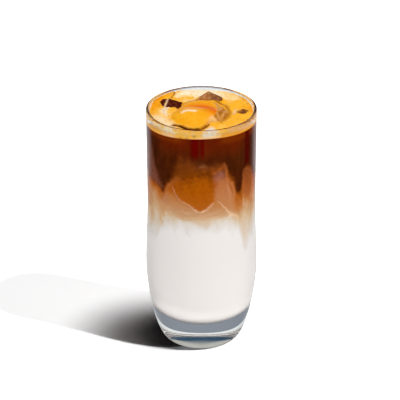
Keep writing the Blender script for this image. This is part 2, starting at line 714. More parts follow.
BASE_SHADE = "6a6c6e"  # what the thick base lets through to the table
SIDE_SHADE = "f6f7f7"  # what the side lets through
POURED_TONES = (  # share of milk in the coffee, and the colour that it gives
    (0.00, "280702"), (0.06, "481c06"), (0.16, "6c3009"), (0.30, "a45014"), (0.42, "ba6b30"),
    (0.54, "c4804c"), (0.66, "cb986c"), (0.78, "d5ae88"), (0.88, "ddc9b6"), (0.94, "e5dbd6"),
    (0.968, "eee5e2"),
)
MILK_IN_SHADE = "28506e"  # the milk's underside, where it rests on the glass
OPEN_COFFEE = "3c0f04"  # coffee in the gaps of the foam
THICK_GLAZE = "ffb62a"  # the golden film where it is thickest
BARE_ICE = "b26c18"  # ice beside the film
LIT_GLAZE = "fdeccb"  # the film's brightest line, and milky ice
FOAM_ON_ICE = "e9bc90"  # foam and frost on the clear ice
BUBBLE_TONES = ((0.35, "e89a24"), (0.65, "fbd492"))


def new_material(name):
    """A material with an empty tree, its tree and its output node."""
    material = bpy.data.materials.new(name)
    material.use_nodes = True
    tree = material.node_tree
    tree.nodes.clear()
    return material, tree, node(tree, "ShaderNodeOutputMaterial")


def layered(tree, colour, layers):
    """A colour with others laid over it, each where the mesh's numbers of that name say."""
    for name, tone in layers:
        share = node(tree, "ShaderNodeAttribute", attribute_name=name)
        over_it = linear(tone) if isinstance(tone, str) else tuple(tone)
        colour = node(tree, "ShaderNodeMix", {
            0: share.outputs["Fac"], 6: colour, 7: over_it,
        }, data_type="RGBA").outputs[2]
    return colour


def soda_lime_glass():
    """Soda-lime glass, blown into a mould and fire polished: clear, faintly grey-green where it is thick."""
    s = settings("iced_tumbler")
    material, tree, output = new_material("soda-lime glass, fire polished")
    where = node(tree, "ShaderNodeTexCoord").outputs["Object"]
    drawn = node(tree, "ShaderNodeTexNoise", {
        "Vector": where, "Scale": 1.0 / (40.0 * MM), "Detail": 1.0,
    })
    uneven = node(tree, "ShaderNodeBump", {
        "Height": drawn.outputs["Fac"], "Strength": 0.08, "Distance": 0.4 * MM,
    })
    glass = node(tree, "ShaderNodeBsdfPrincipled", {
        "Base Color": tuple(s.colour), "Roughness": 0.0, "IOR": 1.5,
        "Transmission Weight": 1.0, "Normal": uneven.outputs["Normal"],
    })
    up = node(tree, "ShaderNodeSeparateXYZ", {"Vector": where}).outputs["Z"]
    above_base = node(tree, "ShaderNodeMapRange", {
        "Value": up, "From Min": 0.6 * s.floor, "From Max": 1.4 * s.floor,
    }, interpolation_type="SMOOTHSTEP")
    let_through = node(tree, "ShaderNodeMix", {
        0: above_base.outputs["Result"], 6: linear(BASE_SHADE), 7: linear(SIDE_SHADE),
    }, data_type="RGBA")
    open_way = node(tree, "ShaderNodeBsdfTransparent", {"Color": let_through.outputs[2]})
    path = node(tree, "ShaderNodeLightPath")
    passes = node(tree, "ShaderNodeMath", {
        0: path.outputs["Is Shadow Ray"], 1: path.outputs["Is Diffuse Ray"],
    }, operation="MAXIMUM")
    shader = node(tree, "ShaderNodeMixShader", {
        0: passes.outputs["Value"], 1: glass.outputs["BSDF"], 2: open_way.outputs["BSDF"],
    })
    tree.links.new(shader.outputs["Shader"], output.inputs["Surface"])
    return material


def milky_drink(name):
    """Milk and coffee, poured and not stirred: paler with more milk, and matt, since it wets the glass."""
    s = settings("iced_drink")
    material, tree, output = new_material(name)
    where = node(tree, "ShaderNodeTexCoord").outputs["Object"]
    fine = node(tree, "ShaderNodeTexNoise", {
        "Vector": where, "Scale": 1.0 / (2.4 * MM), "Detail": 3.0, "Roughness": 0.6,
    })
    stir = node(tree, "ShaderNodeMath", {
        0: fine.outputs["Fac"], 1: 0.07, 2: -0.035,
    }, operation="MULTIPLY_ADD")
    poured = node(tree, "ShaderNodeAttribute", attribute_name="milk")
    share = node(tree, "ShaderNodeMath", {
        0: poured.outputs["Fac"], 1: stir.outputs["Value"],
    }, operation="ADD")
    cloudy = node(tree, "ShaderNodeValToRGB", {"Fac": share.outputs["Value"]}, stops=POURED_TONES)
    colour = layered(tree, cloudy.outputs["Color"], (
        ("amber", s.amber), ("red", s.red), ("veil", s.veil), ("edge", s.ridge), ("under", MILK_IN_SHADE),
    ))
    liquid = node(tree, "ShaderNodeBsdfPrincipled", {
        "Base Color": colour, "Roughness": 0.9, "Specular IOR Level": 0.0,
    })
    tree.links.new(liquid.outputs["BSDF"], output.inputs["Surface"])
    return material


def crema_foam():
    """Crema, a fine brown-gold foam: satin, with pinhead bubbles and paler, coarser patches."""
    s = settings("iced_crema")
    material, tree, output = new_material("crema, fine coffee foam")
    where = node(tree, "ShaderNodeTexCoord").outputs["Object"]
    mottle = node(tree, "ShaderNodeTexNoise", {
        "Vector": where, "Scale": 1.0 / (2.2 * MM), "Detail": 4.0, "Roughness": 0.65,
    })
    cells = node(tree, "ShaderNodeTexVoronoi", {"Vector": where, "Scale": 1.0 / (0.55 * MM)})
    lift = node(tree, "ShaderNodeMath", {
        0: mottle.outputs["Fac"], 1: 0.26, 2: -0.13,
    }, operation="MULTIPLY_ADD")
    foamed = node(tree, "ShaderNodeAttribute", attribute_name="pale")
    pale = node(tree, "ShaderNodeMath", {
        0: foamed.outputs["Fac"], 1: lift.outputs["Value"],
    }, operation="ADD", use_clamp=True)
    body = node(tree, "ShaderNodeValToRGB", {"Fac": pale.outputs["Value"]}, stops=(
        (0.00, "f6a206"), (0.25, s.gold), (0.45, "fdc152"), (0.70, "fdd996"), (1.00, s.cream),
    ))
    colour = layered(tree, body.outputs["Color"], (("deep", s.deep), ("rose", s.rose), ("dark", OPEN_COFFEE)))
    grain = node(tree, "ShaderNodeBump", {
        "Height": cells.outputs["Distance"], "Strength": 0.35, "Distance": 0.15 * MM,
    })
    foam = node(tree, "ShaderNodeBsdfPrincipled", {
        "Base Color": colour, "Roughness": 0.5, "Specular IOR Level": 0.04,
        "Normal": grain.outputs["Normal"],
    })
    tree.links.new(foam.outputs["BSDF"], output.inputs["Surface"])
    return material


def glazed_ice():
    """Ice under a film of golden crema: wet and smooth, deep orange where the film is thin."""
    s = settings("iced_ice")
    material, tree, output = new_material("ice under golden crema")
    where = node(tree, "ShaderNodeTexCoord").outputs["Object"]
    mottle = node(tree, "ShaderNodeTexNoise", {
        "Vector": where, "Scale": 1.0 / (3.0 * MM), "Detail": 3.0, "Roughness": 0.6,
    })
    tone = node(tree, "ShaderNodeValToRGB", {"Fac": mottle.outputs["Fac"]}, stops=(
        (0.30, s.glaze), (0.70, THICK_GLAZE),
    ))
    colour = layered(tree, tone.outputs["Color"], (
        ("orange", s.flame), ("bare", BARE_ICE), ("pale", LIT_GLAZE),
    ))
    wet = node(tree, "ShaderNodeBsdfPrincipled", {
        "Base Color": colour, "Roughness": 0.3, "Specular IOR Level": 0.05, "Coat Weight": 0.18,
        "Coat Roughness": 0.06,
    })
    tree.links.new(wet.outputs["BSDF"], output.inputs["Surface"])
    return material


def clear_ice():
    """Clear tray ice, wet, over black coffee: maroon inside, brown where it is cloudy, pale on its edges."""
    s = settings("iced_ice")
    material, tree, output = new_material("clear wet ice over coffee")
    where = node(tree, "ShaderNodeTexCoord").outputs["Object"]
    veins = node(tree, "ShaderNodeTexNoise", {
        "Vector": where, "Scale": 1.0 / (2.6 * MM), "Detail": 4.0, "Roughness": 0.7,
    })
    inside = node(tree, "ShaderNodeMath", {
        0: veins.outputs["Fac"], 1: 1.4, 2: -0.7,
    }, operation="MULTIPLY_ADD")
    frozen_in = node(tree, "ShaderNodeAttribute", attribute_name="haze")
    haze = node(tree, "ShaderNodeMath", {
        0: frozen_in.outputs["Fac"], 1: inside.outputs["Value"],
    }, operation="ADD", use_clamp=True)
    depth = node(tree, "ShaderNodeMix", {
        0: haze.outputs["Value"], 6: tuple(s.clear), 7: tuple(s.cloudy),
    }, data_type="RGBA")
    wet = node(tree, "ShaderNodeBsdfPrincipled", {
        "Base Color": layered(tree, depth.outputs[2], (("foam", FOAM_ON_ICE),)), "Roughness": 0.15,
        "Specular IOR Level": 0.04, "Coat Weight": 0.05, "Coat Roughness": 0.03,
    })
    tree.links.new(wet.outputs["BSDF"], output.inputs["Surface"])
    return material


def bubble_film():
    """Bubbles of the crema: thin skins, paler and glossier than the foam they sit in."""
    material, tree, output = new_material("crema bubbles")
    where = node(tree, "ShaderNodeTexCoord").outputs["Object"]
    shade = node(tree, "ShaderNodeTexNoise", {"Vector": where, "Scale": 1.0 / (5.0 * MM)})
    skin = node(tree, "ShaderNodeValToRGB", {"Fac": shade.outputs["Fac"]}, stops=BUBBLE_TONES)
    film = node(tree, "ShaderNodeBsdfPrincipled", {
        "Base Color": skin.outputs["Color"], "Roughness": 0.2, "Specular IOR Level": 0.25,
    })
    tree.links.new(film.outputs["BSDF"], output.inputs["Surface"])
    return material


# Pieces

LIP_LEAN = 0.4 * MM  # how far out the lip's crest lies from its middle


class MakeTumbler(bpy.types.Operator):
    """Turns the tumbler, with its thick base and rounded lip"""

    bl_idname = "iced_coffee.tumbler"
    bl_label = "Tumbler"

    def execute(self, context):
        s = context.scene.iced_tumbler
        lip = s.wall / 2
        lip_middle = (s.rim_radius - lip, GLASS_TOP - lip)
        inside = [(0.0, s.floor)] + [(inner_radius(z), z) for z in bowl_rows(BOWL_ROWS)]
        inside += [(inner_radius(z), z) for z in rows(s.bowl_top, lip_middle[1], SIDE_ROWS)]
        arc = []
        for i in range(1, ARC_ROWS):
            turn = math.pi * i / ARC_ROWS
            crest = lip_middle[0] + LIP_LEAN * math.sin(turn) ** 2
            arc.append((crest - lip * math.cos(turn), lip_middle[1] + lip * math.sin(turn)))
        side = [lip_middle[1]] + rows(lip_middle[1], s.belly_height, SIDE_ROWS)
        outside = [(outer_radius(z), z) for z in side]
        turns = [0.5 * math.pi * i / BASE_ROWS for i in range(1, BASE_ROWS + 1)]
        heights = [max(0.0, s.belly_height * (1.0 - math.sin(a))) for a in turns]
        base = [(outer_radius(z), z) for z in heights]
        punt = [((s.punt_radius + s.foot_radius) / 2, 0.0)]
        punt += [
            (s.punt_radius * math.cos(a), s.punt_depth * math.sin(a))
            for a in (0.5 * math.pi * i / ARC_ROWS for i in range(ARC_ROWS))
        ]
        section = inside + arc + outside + base + punt + [(0.0, s.punt_depth)]
        material = soda_lime_glass()
        mesh = turned_mesh("tumbler", section, s.segments, material)
        finished("tumbler", mesh, material, "glass", "glass")
        return {"FINISHED"}


class MakeMilk(bpy.types.Operator):
    """Fills the bowl with milk up to the clouded band"""

    bl_idname = "iced_coffee.milk"
    bl_label = "Milk"

    def execute(self, context):
        s = context.scene.iced_drink
        bowl_top = context.scene.iced_tumbler.bowl_top
        material = milky_drink("whole milk")
        side = wall_section(bowl_top, s.milk_top, s.row * 2)
        bowl = [(inner_radius(z) + s.into_wall, z - s.into_wall) for z in bowl_rows(BOWL_ROWS)[-2::-1]]
        floor = context.scene.iced_tumbler.floor - s.into_wall
        section = to_middle(side[0][0], s.milk_top, DISC_RINGS)[::-1] + side + bowl + [(0.0, floor)]
        mesh = turned_mesh("milk_layer", section, s.segments, material)
        points = coordinates(mesh)
        share = np.clip((points[:, 2] - bowl_top) / (s.milk_top - bowl_top), 0.0, 1.0)
        points[:, 2] += share * wave(points, MILK_WAVES)
        move_points(mesh, points)
        paint(mesh, **drink_fields(points))
        finished("milk_layer", mesh, material, "milk", "milk")
        return {"FINISHED"}


class MakeBlend(bpy.types.Operator):
    """Lays the clouded band where milk and coffee mix"""

    bl_idname = "iced_coffee.blend"
    bl_label = "Clouded band"

    def execute(self, context):
        s = context.scene.iced_drink
        material = milky_drink("coffee clouded with milk")
        mesh = layer_mesh("blend_layer", s.milk_top, MILK_WAVES, s.blend_top, BLEND_WAVES, material)
        paint(mesh, **drink_fields(coordinates(mesh)))
        finished("blend_layer", mesh, material, "blend", "blend")
        return {"FINISHED"}


class MakeCoffee(bpy.types.Operator):
    """Lays the dark coffee between the clouded band and the crema"""

    bl_idname = "iced_coffee.coffee"
    bl_label = "Coffee"

    def execute(self, context):
        s = context.scene.iced_drink
        material = milky_drink("black coffee")
        mesh = layer_mesh("coffee_layer", s.blend_top, BLEND_WAVES, s.coffee_top, CREMA_WAVES, material)
        paint(mesh, **drink_fields(coordinates(mesh)))
        finished("coffee_layer", mesh, material, "coffee", "coffee")
        return {"FINISHED"}


CUBE_DEPTH = 17.0 * MM  # how far the sunk cube reaches back from the wall
CUBE_SIDES = (-52.0, 46.0)  # degrees round
CUBE_ENDS = (89.0 * MM, 132.0 * MM)  # heights of its lower and upper end
CUBE_PROUD = 0.35 * MM  # how far its faces stand into the wall, past the drink
CUBE_FACET = 0.36 * MM  # width of the facets that its face is made of
EDGE_PROUD = 0.15 * MM  # how far its pale edges stand out


class MakeSunkIce(bpy.types.Operator):
    """Sets the sunk cube against the front wall, with its faces and edges"""

    bl_idname = "iced_coffee.sunk_ice"
    bl_label = "Sunk ice"

    def execute(self, context):
        s = context.scene.iced_drink
        material = milky_drink("ice sunk in coffee")
        low, high = CUBE_ENDS
        across = math.radians(CUBE_SIDES[1] - CUBE_SIDES[0]) * WALL_ARC_MM * MM
        columns, lines = round(across / CUBE_FACET), round((high - low) / CUBE_FACET)
        shape = bmesh.new()
        bmesh.ops.create_grid(shape, x_segments=columns, y_segments=lines, size=0.5)
        mesh = bpy.data.meshes.new("ice_sunk")
        shape.to_mesh(mesh)
        shape.free()
        grid = coordinates(mesh)
        angle = np.radians(CUBE_SIDES[0] + (CUBE_SIDES[1] - CUBE_SIDES[0]) * (grid[:, 0] + 0.5))
        height = low + (high - low) * (grid[:, 1] + 0.5)
        wall = np.array([inner_radius(z) for z in height]) + s.into_wall
        points = np.stack([wall * np.sin(angle), -wall * np.cos(angle), height], axis=1)
        fields = drink_fields(points)
        u, v = angle * WALL_ARC_MM, height / MM
        proud = np.full(len(points), -1.0)
        for patch in PATCHES.values():
            inside = climb(within(u, v, on_wall(patch["outline"], True)), -0.75, 1.75)
            proud = np.maximum(proud, patch.get("proud", -1.0) * inside - (1.0 - inside))
        stands_out = proud * CUBE_PROUD + EDGE_PROUD * fields["edge"]
        points[:, :2] *= (1.0 + stands_out / wall)[:, None]
        move_points(mesh, points)
        paint(mesh, **fields)
        shape = bmesh.new()
        shape.from_mesh(mesh)
        border = [e for e in shape.edges if e.is_boundary]
        back = bmesh.ops.extrude_edge_only(shape, edges=border)["geom"]
        for vertex in (g for g in back if isinstance(g, bmesh.types.BMVert)):
            vertex.co.xy *= 1.0 - CUBE_DEPTH / vertex.co.xy.length
        bmesh.ops.holes_fill(shape, edges=[g for g in back if isinstance(g, bmesh.types.BMEdge)])
        bmesh.ops.recalc_face_normals(shape, faces=shape.faces)
        shape.to_mesh(mesh)
        shape.free()
        mesh.shade_smooth()
        finished("ice_sunk", mesh, material, "ice")
        return {"FINISHED"}


# Places on the top, seen from above: millimetres to the right of the axis and behind it

LUMP = (
    (-18.3, -8.0), (-17.3, -14.3), (-14.9, -19.2), (-9.7, -22.4), (-5.3, -24.2), (-1.4, -24.6), (0.2, -24.0),
    (1.8, -21.6), (3.6, -18.2), (7.0, -16.8), (10.0, -17.6), (13.0, -14.6), (15.4, -8.9), (16.4, -3.8),
    (15.6, 2.6), (13.2, 7.2), (9.6, 9.8), (6.0, 11.6), (2.5, 12.4), (-1.5, 12.0), (-6.0, 10.4),
    (-10.1, 7.6), (-13.6, 3.1), (-17.0, -1.8),
)
LUMP_MIDDLE = (-2.0, -7.5)
LUMP_TOP = 152.5  # heights in mm: its ridge, the foam's level at its side, and its foot
LUMP_FOAM_LINE = 146.8
LUMP_LOW = 131.5
LUMP_SHAPE = dict(rings=56, side_rings=16, segments=200)  # rings on its top and side, and points in a ring
CRESCENT = ((-9.5, -2.6), (-4.9, -0.9), (0.9, -1.2), (4.9, -4.2), (8.2, -9.4))
CRESCENT_STRENGTH = (0.3, 0.7, 1.0, 1.0, 0.9)
BRIGHT_LINE = ((-10.6, -9.8), (-8.4, -9.2), (-5.5, -9.2), (-3.6, -9.7))
WET_SIDE = (
    (4.6, -21.0), (7.0, -14.5), (9.0, -9.2), (9.4, -2.3), (8.0, 4.7), (6.0, 9.5), (9, 12), (18, 3), (16, -18),
)
THIN_BACK = ((-11.5, 6.5), (-6.0, 10.6), (0.5, 12.6), (6.0, 11.8))
PALE_CORNER = ((3.6, -17.4), (6.4, -12.8), (8.6, -15.4), (8.4, -19.0), (4.4, -22.4), (2.8, -21.6))


STREAKED = np.array([1.6, 0.45, 1.0])  # draws a field out from front to back
OUTLINE_SOFT = 0.8  # softness in mm of the outlines on the lump


def over(points, line, half_mm, strengths=None):
    """How much of a soft line on the top covers each point."""
    away, along = to_line(points[:, 0] / MM, points[:, 1] / MM, line)
    share = dab(away, half_mm)
    return share if strengths is None else share * np.interp(along, range(len(line)), strengths)


def on_patch(points, outline, soft_mm):
    """How much of an outline on the top covers each point."""
    return covered(points[:, 0] / MM, points[:, 1] / MM, rounded(outline, True), soft_mm)


def lump_height(x, y, share):
    """Height of the large lump in mm: a broad slope in front, a ridge, and a shallow hollow behind it."""
    top = LUMP_TOP - 4.0 * climb(y, -9.5, -25.5) - 1.5 * climb(y, -8.5, 0.5)
    top -= 1.6 * climb(x, 4.0, 13.0) + 2.6 * climb(x, -7.0, -18.0)
    return LUMP_FOAM_LINE + (top - LUMP_FOAM_LINE) * np.sqrt(np.clip(1.0 - share ** 9, 0.0, 1.0))


def lump_mesh(rings, side_rings, segments):
    """The large lump: rings round its middle over the top, then down its side to a rounded foot."""
    middle = np.array(LUMP_MIDDLE)
    edge = np.array(rounded(LUMP, True)) - middle
    turns = np.arctan2(edge[:, 1], edge[:, 0])
    order = np.argsort(turns)
    angles = np.linspace(-math.pi, math.pi, segments, endpoint=False)
    reach = np.interp(angles, turns[order], np.hypot(*edge[order].T), period=2.0 * math.pi)
    way = np.stack([np.cos(angles), np.sin(angles)], axis=1)
    points = [(*middle, float(lump_height(middle[0], middle[1], 0.0)))]
    for i in range(1, rings + 1):
        share = (i / rings) ** 0.8
        flat = middle + way * (reach * share)[:, None]
        points += list(zip(flat[:, 0], flat[:, 1], lump_height(flat[:, 0], flat[:, 1], share)))
    for i in range(1, side_rings + 1):
        fall = i / side_rings
        flat = middle + way * (reach * (1.0 - 0.30 * fall ** 3))[:, None]
        points += [(x, y, LUMP_FOAM_LINE + (LUMP_LOW - LUMP_FOAM_LINE) * fall) for x, y in flat]
    points.append((*middle, LUMP_LOW))
    total = rings + side_rings
    faces = [(0, 1 + j, 1 + (j + 1) % segments) for j in range(segments)]
    for i in range(total - 1):
        a, b = 1 + i * segments, 1 + (i + 1) * segments
        faces += [(a + j, b + j, b + (j + 1) % segments, a + (j + 1) % segments) for j in range(segments)]
    last = 1 + (total - 1) * segments
    faces += [(last + j, len(points) - 1, last + (j + 1) % segments) for j in range(segments)]
    mesh = bpy.data.meshes.new("glazed_ice")
    mesh.from_pydata([tuple(c * MM for c in point) for point in points], [], faces)
    if signed_volume(mesh) < 0.0:
        mesh.flip_normals()
    return mesh


def directions(mesh):
    """Outward direction at each point of a mesh."""
    normals = np.empty(len(mesh.vertices) * 3, np.float32)
    mesh.vertex_normals.foreach_get("vector", normals)
    return normals.reshape(-1, 3).astype(float)


class MakeGlazedIce(bpy.types.Operator):
    """Makes the large lump under its golden film"""

    bl_idname = "iced_coffee.glazed_ice"
    bl_label = "Glazed ice"

    def execute(self, context):
        s = context.scene.iced_ice
        material = glazed_ice()
        mesh = lump_mesh(**LUMP_SHAPE)
        points, out = coordinates(mesh), directions(mesh)
        wet = on_patch(points, WET_SIDE, OUTLINE_SOFT)
        veins = clouds(points * STREAKED, 3.6 * MM, 31)
        sink = s.pitting * (0.4 + 0.4 * clouds(points, 6.0 * MM, 32))
        sink += 1.4 * s.pitting * wet * (1.0 + veins)
        points -= out * np.maximum(sink, 0.0)[:, None]
        move_points(mesh, points)
        corner = on_patch(points, PALE_CORNER, OUTLINE_SOFT)
        streak = np.clip(0.5 + 0.45 * veins, 0.0, 1.0)
        bare = wet * (0.62 + 0.38 * streak) * (1.0 - corner) + 0.5 * over(points, THIN_BACK, 1.3)
        pale = over(points, BRIGHT_LINE, 1.05) + 0.26 * corner + 0.14 * wet * (1.0 - streak) ** 2
        orange = over(points, CRESCENT, 4.6, CRESCENT_STRENGTH) * (1.0 - wet)
        paint(mesh, orange=orange, bare=np.clip(bare, 0.0, 1.0), pale=np.clip(pale, 0.0, 1.0))
        mesh.shade_smooth()
        finished("glazed_ice", mesh, material, "coated_ice", "ice_middle")
        return {"FINISHED"}


# Corners of the clear blocks in mm, how cloudy each is, how much frost is on it, and the strip of foam that
# lies over it, with its half width in mm
CLEAR_BLOCKS = {
    "ice_left": dict(
        top=((-24.6, 12.6, 148.5), (-22.5, 15.6, 148.8), (-18.6, 15.2, 149.2), (-10.9, 10.6, 148.7),
             (-11.9, 0.8, 148.4), (-18.5, 1.2, 148.5), (-23.0, 6.2, 148.4)),
        foot=((-23.4, 12.4, 140.0), (-12.5, 10.0, 140.0), (-13.4, 3.0, 140.0), (-21.0, 5.0, 140.0)),
        haze=0.0, foam=((-19.6, 15.6), (-20.2, 11.2), (-21.2, 5.5), (-22.2, 2.5)), foam_width=0.55,
        frost=0.0,
    ),
    "ice_back": dict(
        top=((4.2, 18.9, 152.3), (-2.4, 15.0, 148.3), (-1.6, 18.5, 148.8), (12.6, 14.4, 149.3),
             (12.4, 16.4, 149.3), (6.2, 12.6, 148.6), (1.6, 12.8, 148.4), (9.8, 12.0, 148.0)),
        foot=((-1.0, 14.0, 139.0), (11.0, 13.0, 139.0), (8.0, 20.5, 139.0), (1.0, 20.0, 139.0)),
        haze=0.85, foam=((-3.2, 14.6), (-1.8, 18.8), (4.1, 20.4)), foam_width=0.7, frost=0.30,
    ),
    "ice_right": dict(
        top=((24.0, -0.4, 149.6), (19.9, -2.0, 148.3), (28.3, -1.4, 148.4), (25.6, -5.2, 148.2),
             (21.2, -6.6, 148.2), (25.0, 2.4, 148.0)),
        foot=((21.0, -2.0, 139.0), (27.0, -2.0, 139.0), (24.5, -5.5, 139.0), (24.5, 1.5, 139.0)),
        haze=0.75, foam=((19.2, -2.0), (20.6, -7.2), (24.6, -7.0)), foam_width=0.7, frost=0.1,
    ),
}


STRIP_FEET = (147.0, 148.0)  # height in mm where a strip of foam starts, and where it is full


def chipped_block(name, corners, grain):
    """A block of ice with the given corners in mm, as an even, fine mesh with melted edges."""
    shape = bmesh.new()
    for corner in corners:
        shape.verts.new([c * MM for c in corner])
    bmesh.ops.convex_hull(shape, input=shape.verts)
    rough = bpy.data.meshes.new(name)
    shape.to_mesh(rough)
    shape.free()
    obj = bpy.data.objects.new(name, rough)
    bpy.context.scene.collection.objects.link(obj)
    remesh = obj.modifiers.new("even", "REMESH")
    remesh.mode = "VOXEL"
    remesh.voxel_size = grain
    soften = obj.modifiers.new("melt", "SMOOTH")
    soften.factor = 0.5
    soften.iterations = 2
    graph = bpy.context.evaluated_depsgraph_get()
    mesh = bpy.data.meshes.new_from_object(obj.evaluated_get(graph))
    bpy.data.objects.remove(obj)
    mesh.name = name
    return mesh


class MakeClearIce(bpy.types.Operator):
    """Makes the three clear pieces that show dark coffee through them"""

    bl_idname = "iced_coffee.clear_ice"
    bl_label = "Clear ice"

    def execute(self, context):
        s = context.scene.iced_ice
        material = clear_ice()
        for name, look in CLEAR_BLOCKS.items():
            mesh = chipped_block(name + "_clear", look["top"] + look["foot"], s.grain)
            points, out = coordinates(mesh), directions(mesh)
            points -= out * (s.pitting * 0.4 * (1.0 + clouds(points, 3.0 * MM, 41)))[:, None]
            move_points(mesh, points)
            foam = 1.2 * over(points, look["foam"], look["foam_width"])
            foam *= climb(points[:, 2] / MM, *STRIP_FEET)
            left_side = climb(out[:, 0], 0.3, -0.3)
            frost = look["frost"] * left_side * climb(clouds(points, 3.0 * MM, 42), 0.2, 1.2)
            paint(mesh, haze=look["haze"] * (0.3 + 0.7 * left_side), foam=np.clip(foam + frost, 0.0, 1.0))
            mesh.shade_smooth()
            finished(name + "_clear", mesh, material, "ice", name)
        return {"FINISHED"}


# Tones of the foam: shares of pale, deep and rose inside each outline, 0 where one isn't given, and its
# softness in mm. On the top the outline is in mm to the right and back, and on the wall in degrees round and
# mm up
FOAM_TOP = {
    "left gold": dict(
        pale=0.03, deep=0.25, soft=3.0,
        outline=((-31, 9.5), (-26.5, 21.0), (-22.0, 14.0), (-23.0, 3.0), (-25.0, -3.2), (-30.5, -1.8))),
    "right gold": dict(
        pale=0.24, soft=4.0,
        outline=((14, 10), (22, 14), (30, 8), (30, -8), (24, -16), (14, -12))),
    "far right gold": dict(
        pale=0.10, deep=0.45, soft=2.5,
        outline=((26.5, 9), (30, 8), (31, -4), (27.5, -4))),
    "back cream": dict(
        pale=0.88, rose=0.06, soft=3.6,
        outline=((-14.0, 32), (0, 32), (13, 31), (22.5, 24), (23, 17), (16, 16), (12, 19), (-2, 19),
                 (-8, 20.5), (-15, 20))),
    "back right cream": dict(
        pale=0.64, soft=3.4,
        outline=((10, 31), (22.5, 24), (24, 17), (16, 15), (12, 21))),
    "back cream patch": dict(
        pale=0.56, soft=3.0,
        outline=((-10.9, 21.0), (-2.6, 19.6), (-1.4, 13.0), (-9.0, 8.2), (-12.4, 12.4))),
    "back gold streak": dict(
        pale=0.30, deep=0.10, soft=1.2,
        outline=((-9.5, 20.5), (-2.8, 20.0), (-4.0, 17.8), (-9.0, 17.4))),
    "left cream": dict(
        pale=0.66, rose=0.06, soft=3.2,
        outline=((-25.6, 5.0), (-21.5, 1.4), (-18.6, 1.0), (-17.6, -4.0), (-18.6, -9.0), (-24.6, -7.0),
                 (-25.4, -1.0))),
    "pink ridge": dict(
        pale=0.75, rose=0.62, soft=1.1,
        outline=((-21.6, 6.6), (-20.0, 5.4), (-19.6, 0.4), (-18.8, -6.4), (-21.0, -5.0), (-22.2, -0.2))),
    "front left cream": dict(
        pale=0.72, rose=0.26, soft=3.4,
        outline=((-28.5, -5.5), (-24.0, -7.4), (-18.8, -11.4), (-16.4, -18.0), (-13.4, -22.2), (-16.0, -28.0),
                 (-24.0, -22.0), (-30, -12))),
    "front orange": dict(
        pale=0.34, deep=0.22, rose=0.05, soft=2.0,
        outline=((-13.8, -21.6), (-8.6, -24.6), (-2.0, -27.4), (-3.0, -31.0), (-14.0, -28.0))),
    "front rose": dict(
        pale=0.80, rose=0.75, soft=1.8,
        outline=((1.4, -27.0), (4.2, -22.2), (7.0, -23.5), (9.5, -26.5), (8.0, -30.0), (1.0, -30.5))),
    "yellow patch": dict(
        pale=0.42, soft=1.6,
        outline=((8.6, -19.6), (11.4, -18.4), (14.4, -19.0), (13.4, -25.0), (9.0, -26.0))),
    "right tan": dict(
        pale=0.20, deep=0.60, rose=0.20, soft=1.8,
        outline=((14.5, -24.5), (20, -20.5), (26.5, -13.5), (29.5, -8), (29.0, -14), (20, -25), (14, -28))),
}
FOAM_WALL = {
    "left beige": dict(
        pale=0.90, rose=0.35, soft=1.4,
        outline=((-78, 151), (-30, 151), (-26, 148.0), (-30, 145.6), (-42, 146.2), (-52, 147.0), (-60, 147.6),
                 (-70, 147.0), (-78, 146.0))),
    "left glow": dict(
        pale=0.40, deep=0.45, rose=0.06, soft=1.3,
        outline=((-76, 146.0), (-62, 147.2), (-52, 146.4), (-42, 145.6), (-30, 145.0), (-28, 143),
                 (-40, 141.5),
                 (-60, 140), (-76, 140))),
    "left low": dict(
        pale=0.62, deep=0.32, rose=0.20, soft=1.3,
        outline=((-50, 145.2), (-38, 145.4), (-28, 144.6), (-28, 142.6), (-44, 142.4))),
    "front gold": dict(
        pale=0.42, deep=0.15, soft=1.2,
        outline=((-27, 151), (-4, 151), (-1, 147.0), (-4, 143.0), (-30, 142.0))),
    "front rose": dict(
        pale=1.0, rose=0.75, soft=1.6,
        outline=((0, 151), (17, 151), (16, 147.2), (10, 145.6), (2, 146.0))),
    "front low": dict(
        pale=0.62, deep=0.15, rose=0.20, soft=1.3,
        outline=((-2, 145.8), (18, 145.6), (24, 144.4), (14, 142.6), (-2, 142.6))),
    "right tan": dict(
        pale=0.28, deep=0.80, rose=0.10, soft=1.3,
        outline=((19, 151), (50, 151), (78, 151), (78, 145.6), (60, 145.8), (44, 146.6), (30, 147.2),
                 (20, 147.6))),
    "right glow": dict(
        pale=0.35, deep=0.65, soft=0.9,
        outline=((20, 147), (32, 146.8), (44, 146.2), (60, 145.2), (76, 144.6), (76, 139), (36, 141),
                 (20, 142))),
}
SLIT = ((-14.6, 29.6), (-16.2, 23.9), (-17.9, 19.6))  # a crack in the foam at the left back
SLIT_DEPTH = 0.7 * MM
GAPS = (  # strength of the gaps in front of the lump, and their lines
    (1.5, ((-16.0, -19.2), (-12.6, -21.8), (-9.6, -23.6), (-5.3, -25.4), (-1.2, -25.6))),
    (0.8, ((-0.2, -25.0), (2.0, -22.6), (3.8, -19.0))),
)
BROWN_ARC = ((-12.0, 6.5), (-6.9, 12.2), (-2.0, 14.8), (2.5, 15.6), (8.0, 13.6), (11.4, 10.4), (14.6, 5.2),
             (16.4, -2.0), (15.4, -8.7), (12.6, -13.6), (10.8, -16.4))
ARC_STRENGTH = (0.3, 0.5, 0.65, 0.75, 0.75, 0.7, 0.6, 0.55, 0.55, 0.6, 0.5)
PALE_RING = ((20.2, 1.6), (18.8, -1.6), (19.0, -4.6))
SPECKS = (  # dark specks on the top: place and half width in mm
    (-14.1, -0.4, 0.5), (-16.3, 2.2, 0.4), (-13.2, -10.1, 0.4), (26.6, 10.2, 0.5), (24.2, 16.4, 0.4),
    (22.4, 17.4, 0.3), (-24.6, 9.4, 0.3), (21.0, -13.0, 0.35),
)
SPECK_HALF = 0.5  # half height in mm of the specks on the wall
